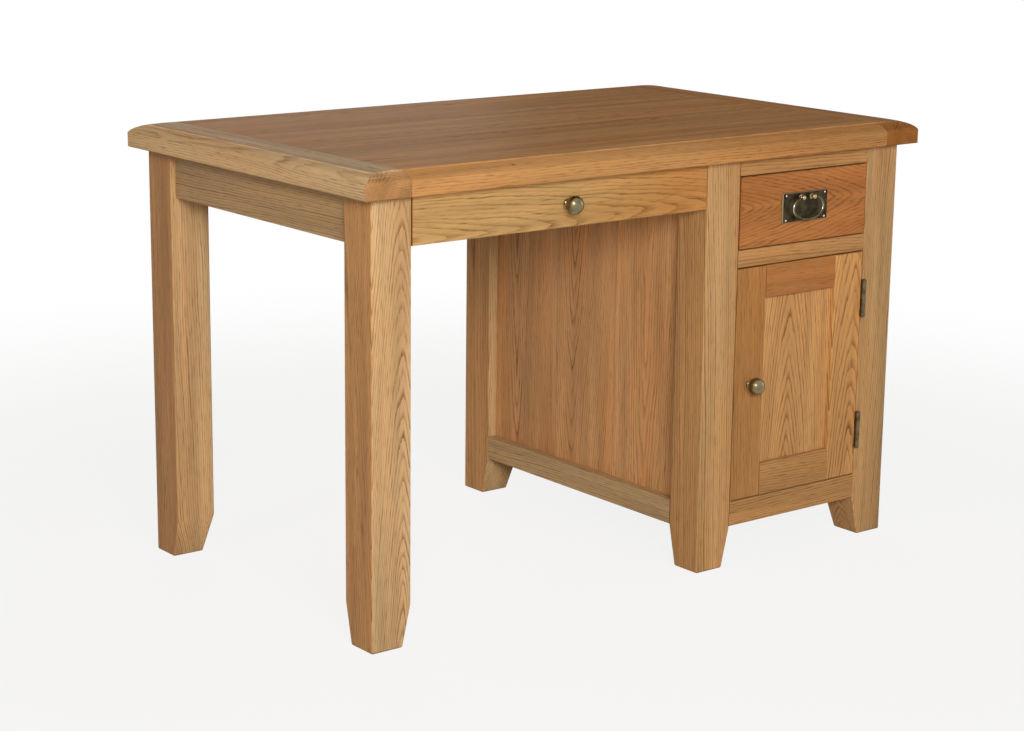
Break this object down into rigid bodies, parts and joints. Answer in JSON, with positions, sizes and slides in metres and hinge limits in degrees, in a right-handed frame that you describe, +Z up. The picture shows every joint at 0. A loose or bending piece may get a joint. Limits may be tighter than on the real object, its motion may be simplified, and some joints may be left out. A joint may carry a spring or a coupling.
{
  "type": "pedestal desk",
  "caption": "Oak desk with a breadboard top, square legs, a drawer over the kneehole and a pedestal with a bail-pull drawer above a framed cupboard door.",
  "frame": {"origin": "on the floor under the middle of the desk", "axes": "+X along the width towards the pedestal, +Y from front to back, +Z up"},
  "size_m": [1.2, 0.7378, 0.765],
  "materials": {
    "oak": "satin lacquered oak, straight and cathedral grain",
    "oak_top": "satin lacquered oak boards, a little deeper in tone",
    "oak_panel": "satin lacquered oak veneer panel",
    "pale_oak": "unlacquered oak, sanded",
    "antique_brass": "antiqued, dark in the hollows and rubbed bright on the rounds",
    "dark_bronze": "dark bronze lacquer",
    "zinc_steel": "zinc plated"
  },
  "bodies": {
    "frame": {"top_field": "oak_top", "top_end_left": "oak_top", "top_end_right": "oak_top", "leg_front_left": "oak", "leg_rear_left": "oak", "post_front_left": "oak", "post_rear_left": "oak", "post_front_right": "oak", "post_rear_right": "oak", "apron_left": "oak", "apron_rear": "oak", "kneehole_rail": "oak", "pedestal_panel_left": "oak_panel", "pedestal_bottom_rail_left": "oak", "pedestal_top_rail_left": "oak", "pedestal_panel_right": "oak_panel", "pedestal_bottom_rail_right": "oak", "pedestal_top_rail_right": "oak", "pedestal_panel_rear": "oak_panel", "pedestal_bottom_rail_rear": "oak", "pedestal_top_rail_rear": "oak", "front_rail_top": "oak", "front_rail_middle": "oak", "front_rail_bottom": "oak", "cupboard_floor": "oak_panel", "centre_drawer_runner_left": "pale_oak", "centre_drawer_runner_right": "pale_oak", "small_drawer_runner_left": "pale_oak", "small_drawer_runner_right": "pale_oak", "hinge_upper_post_leaf": "antique_brass", "hinge_upper_pin": "antique_brass", "hinge_lower_post_leaf": "antique_brass", "hinge_lower_pin": "antique_brass", "door_catch": "zinc_steel"},
    "centre_drawer": {"centre_drawer_front": "oak", "centre_drawer_side_left": "pale_oak", "centre_drawer_side_right": "pale_oak", "centre_drawer_back": "pale_oak", "centre_drawer_bottom": "pale_oak", "centre_drawer_knob": "antique_brass"},
    "small_drawer": {"small_drawer_front": "oak", "small_drawer_side_left": "pale_oak", "small_drawer_side_right": "pale_oak", "small_drawer_back": "pale_oak", "small_drawer_bottom": "pale_oak", "handle_plate": "dark_bronze", "bail_post_left": "antique_brass", "bail_post_right": "antique_brass"},
    "bail": {"bail": "antique_brass"},
    "door": {"door_stile_left": "oak", "door_stile_right": "oak", "door_rail_top": "oak", "door_rail_bottom": "oak", "door_panel": "oak_panel", "door_knob": "antique_brass", "hinge_upper_door_leaf": "antique_brass", "hinge_lower_door_leaf": "antique_brass", "door_strike": "zinc_steel"}
  },
  "joints": [
    {"name": "centre_drawer_slide", "type": "slide", "parent": "frame", "child": "centre_drawer", "axis": [0, -1, 0], "range_m": [0, 0.32]},
    {"name": "small_drawer_slide", "type": "slide", "parent": "frame", "child": "small_drawer", "axis": [0, -1, 0], "range_m": [0, 0.32]},
    {"name": "bail_swing", "type": "hinge", "parent": "small_drawer", "child": "bail", "pos_m": [0.344, -0.3491, 0.6475], "axis": [-1, 0, 0], "range_deg": [0, 95]},
    {"name": "door_hinge", "type": "hinge", "parent": "frame", "child": "door", "pos_m": [0.498, -0.3438, 0.3265], "axis": [0, 0, 1], "range_deg": [0, 170]}
  ]
}
